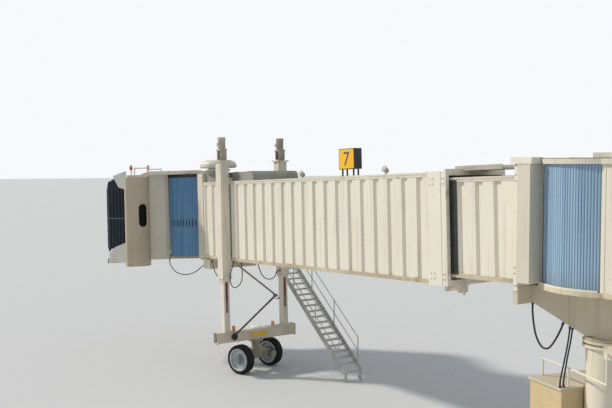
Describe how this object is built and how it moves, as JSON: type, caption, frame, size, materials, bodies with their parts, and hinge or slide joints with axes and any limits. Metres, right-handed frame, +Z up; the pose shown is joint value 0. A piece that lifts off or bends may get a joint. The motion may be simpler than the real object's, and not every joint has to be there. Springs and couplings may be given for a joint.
{
  "type": "passenger boarding bridge",
  "caption": "Apron-drive passenger boarding bridge with a slatted rotunda on a column, telescoping ribbed tunnels, screw-lift columns on a steered bogie, a turning cab and a service stair.",
  "frame": {"origin": "centre of the column's foot flange, on the ground", "axes": "+X out along the tunnels in plan, +Y to the operator's booth side, +Z up"},
  "size_m": [25.6294, 6.5152, 9.078],
  "materials": {
    "ivory_paint": "weathered semi-gloss coat",
    "tan_paint": "matte",
    "grey_paint": "satin",
    "white_paint": "satin",
    "yellow_paint": "satin",
    "wheel_paint": "satin",
    "cab_paint": "matte",
    "blue_slats": "satin slats",
    "dark_blue_slats": "satin slats",
    "galvanised": "hot-dip galvanised",
    "black_rubber": "matte",
    "tyre_rubber": "matte",
    "canopy_fabric": "coated fabric"
  },
  "bodies": {
    "base": {"column": "ivory_paint", "service_block": "tan_paint", "rotunda_floor": "ivory_paint", "rotunda_roof": "ivory_paint", "terminal_walls": "ivory_paint", "rotunda_curtains": "blue_slats", "column_cables": "black_rubber"},
    "swing": {"girder": "ivory_paint", "portal_frame": "ivory_paint", "curtain_housings": "ivory_paint", "girder_cable": "black_rubber"},
    "inner_tunnel": {"tunnel_a_floor": "ivory_paint", "tunnel_a_roof": "ivory_paint", "tunnel_a_walls": "ivory_paint"},
    "outer_tunnel": {"tunnel_b_floor": "ivory_paint", "tunnel_b_roof": "ivory_paint", "tunnel_b_walls": "ivory_paint", "tunnel_b_collar": "ivory_paint", "tunnel_b_end_frame": "ivory_paint", "lift_tubes": "ivory_paint", "lift_drives": "grey_paint", "roof_housing": "grey_paint", "roof_ventilator": "white_paint", "roof_fittings": "galvanised", "sign_box": "yellow_paint", "ring_floor": "ivory_paint", "ring_roof": "ivory_paint", "cab_curtains": "dark_blue_slats", "stair_landing": "galvanised", "tunnel_cables": "black_rubber"},
    "legs": {"lift_legs": "ivory_paint", "crossbeam": "ivory_paint"},
    "bogie": {"bogie_frame": "ivory_paint"},
    "near_wheel_body": {"near_tyre": "tyre_rubber", "near_wheel": "wheel_paint"},
    "far_wheel_body": {"far_tyre": "tyre_rubber", "far_wheel": "wheel_paint"},
    "cab": {"cab_floor": "ivory_paint", "cab_roof": "ivory_paint", "cab_walls": "cab_paint", "operator_booth": "cab_paint", "canopy": "canopy_fabric", "canopy_cheeks": "white_paint"},
    "stair": {"stair_flight": "galvanised"},
    "upper_arm_body": {"upper_arm": "galvanised"},
    "lower_arm_body": {"lower_arm": "grey_paint"}
  },
  "joints": [
    {"name": "rotunda_swing", "type": "hinge", "parent": "base", "child": "swing", "pos_m": [0, 0, 3.98], "axis": [0, 0, 1], "range_deg": [-55, 55], "deforming": ["rotunda_curtains"]},
    {"name": "tunnel_pitch", "type": "hinge", "parent": "swing", "child": "inner_tunnel", "pos_m": [1.62, 0, 5.04], "axis": [0, 1, 0], "range_deg": [-7, 2.4]},
    {"name": "tunnel_extend", "type": "slide", "parent": "inner_tunnel", "child": "outer_tunnel", "axis": [0.9992, 0, -0.0401], "range_m": [-0.8, 6]},
    {"name": "lift", "type": "slide", "parent": "outer_tunnel", "child": "legs", "axis": [0.0401, 0, 0.9992], "range_m": [-1.75, 0.61]},
    {"name": "bogie_steer", "type": "hinge", "parent": "legs", "child": "bogie", "pos_m": [15.93508, 0, 1.215], "axis": [0, 0, 1], "range_deg": [-90, 90]},
    {"name": "near_wheel_spin", "type": "hinge", "parent": "bogie", "child": "near_wheel_body", "pos_m": [15.65021, 0.82733, 0.56], "axis": [-0.3256, 0.9455, 0], "continuous": true},
    {"name": "far_wheel_spin", "type": "hinge", "parent": "bogie", "child": "far_wheel_body", "pos_m": [16.21996, -0.82733, 0.56], "axis": [-0.3256, 0.9455, 0], "continuous": true},
    {"name": "cab_rotate", "type": "hinge", "parent": "outer_tunnel", "child": "cab", "pos_m": [19.8553, 0, 4.30759], "axis": [0.0401, 0, 0.9992], "range_deg": [-84, 40], "deforming": ["cab_curtains"]},
    {"name": "stair_fold", "type": "hinge", "parent": "outer_tunnel", "child": "stair", "pos_m": [17.42445, -2.07, 4.33517], "axis": [0, 1, 0], "range_deg": [-17, 6]},
    {"name": "upper_arm_fold", "type": "hinge", "parent": "outer_tunnel", "child": "upper_arm_body", "pos_m": [15.65065, 1.06, 4.27631], "axis": [0.9992, 0, -0.0401], "range_deg": [-12, 34]},
    {"name": "lower_arm_fold", "type": "hinge", "parent": "legs", "child": "lower_arm_body", "pos_m": [15.53913, 1.19, 1.49955], "axis": [0.9992, 0, -0.0401], "range_deg": [-34, 12]}
  ],
  "couplings": [
    {"joint": "lift", "follows": "tunnel_pitch", "m_per_rad": 14.26},
    {"joint": "stair_fold", "follows": "tunnel_pitch", "ratio": 2.3},
    {"joint": "upper_arm_fold", "follows": "tunnel_pitch", "ratio": -4.8},
    {"joint": "lower_arm_fold", "follows": "tunnel_pitch", "ratio": 4.8}
  ]
}
